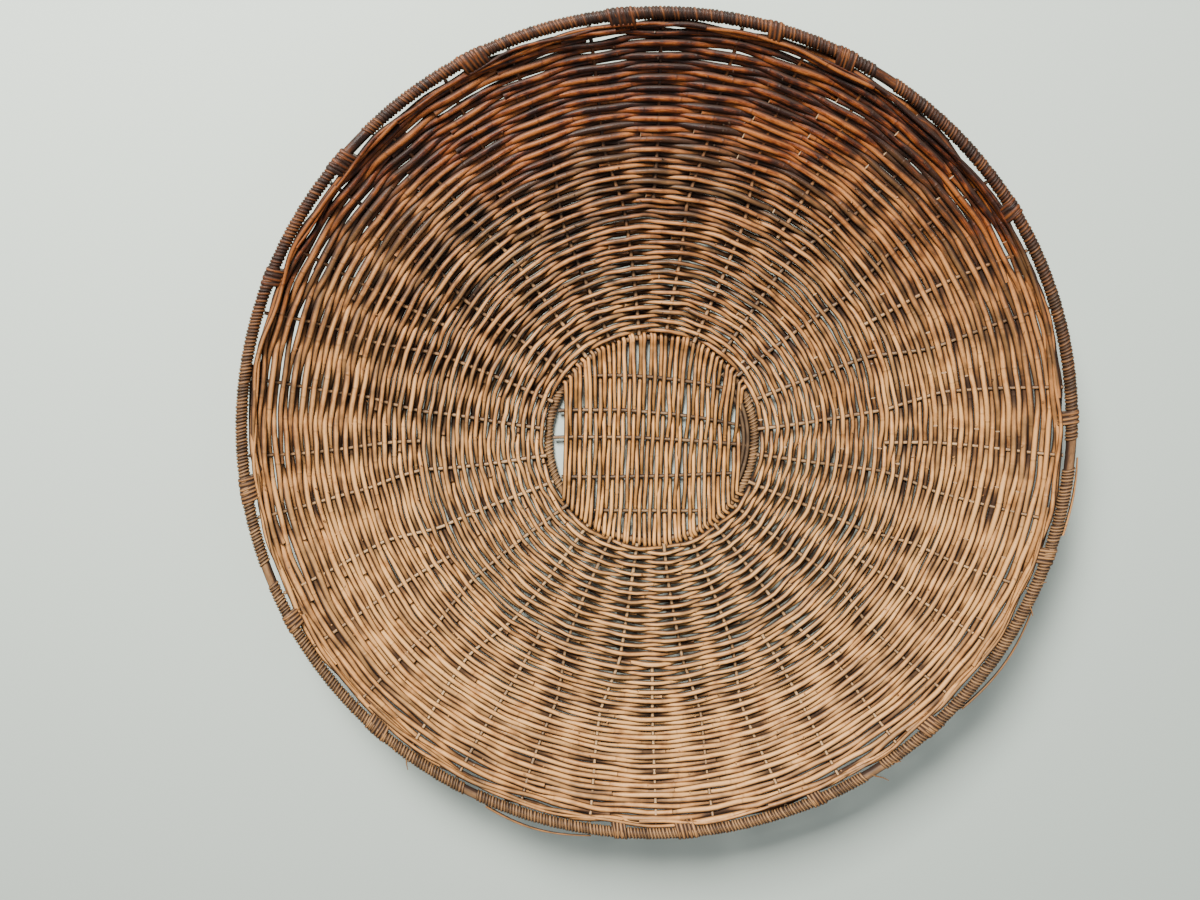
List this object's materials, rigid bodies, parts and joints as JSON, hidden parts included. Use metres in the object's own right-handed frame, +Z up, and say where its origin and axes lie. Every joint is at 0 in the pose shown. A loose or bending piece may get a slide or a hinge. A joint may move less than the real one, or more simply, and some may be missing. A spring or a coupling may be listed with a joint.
{
  "type": "winnowing basket",
  "caption": "Round shallow winnowing basket of woven willow: a lapped rim hoop, stakes fanning from a small woven centre panel, and close rounds of weaving.",
  "frame": {"origin": "middle of the underside of the centre hoop, where the basket rests", "axes": "+Z up out of the open side of the basket, +X and +Y in the plane of the rim; the five cross rods of the centre panel run along X and its fine rods along Y"},
  "size_m": [0.8854, 0.881, 0.1045],
  "materials": {
    "weaving_willow": "aged willow rods with their bark on, satin",
    "pale_willow": "aged fine willow rods, satin",
    "stake_willow": "aged willow stakes, matt to satin",
    "dark_willow": "dark weathered willow, matt",
    "hoop_rod": "bent hoop rod, dark and worn",
    "split_willow": "split willow lapping, worn satin",
    "binding_willow": "newer split willow binding, satin"
  },
  "bodies": {
    "root": {"centre_hoop": "hoop_rod", "centre_lapping": "split_willow", "centre_cross_rods": "dark_willow", "centre_panel_rods": "pale_willow", "main_stakes": "stake_willow", "added_stakes": "stake_willow", "rim_hoop": "hoop_rod", "rim_lapping": "split_willow", "rim_bindings": "binding_willow", "stray_rods": "weaving_willow", "weft_pair_01": "weaving_willow", "weft_pair_02": "weaving_willow", "weft_pair_03": "weaving_willow", "weft_pair_04": "weaving_willow", "weft_pair_05": "weaving_willow", "weft_pair_06": "weaving_willow", "weft_pair_07": "weaving_willow", "weft_pair_08": "weaving_willow", "weft_pair_09": "weaving_willow", "weft_pair_10": "weaving_willow", "weft_pair_11": "weaving_willow", "weft_pair_12": "weaving_willow", "weft_pair_13": "weaving_willow", "weft_pair_14": "weaving_willow", "weft_pair_15": "weaving_willow", "weft_pair_16": "weaving_willow", "weft_pair_17": "weaving_willow", "weft_pair_18": "weaving_willow", "weft_pair_19": "weaving_willow", "weft_pair_20": "weaving_willow", "weft_pair_21": "weaving_willow", "weft_pair_22": "weaving_willow", "weft_pair_23": "weaving_willow", "weft_pair_24": "weaving_willow", "weft_pair_25": "weaving_willow", "weft_pair_26": "weaving_willow", "weft_pair_27": "weaving_willow", "weft_pair_28": "weaving_willow", "weft_pair_29": "weaving_willow", "weft_pair_30": "weaving_willow"}
  },
  "joints": []
}
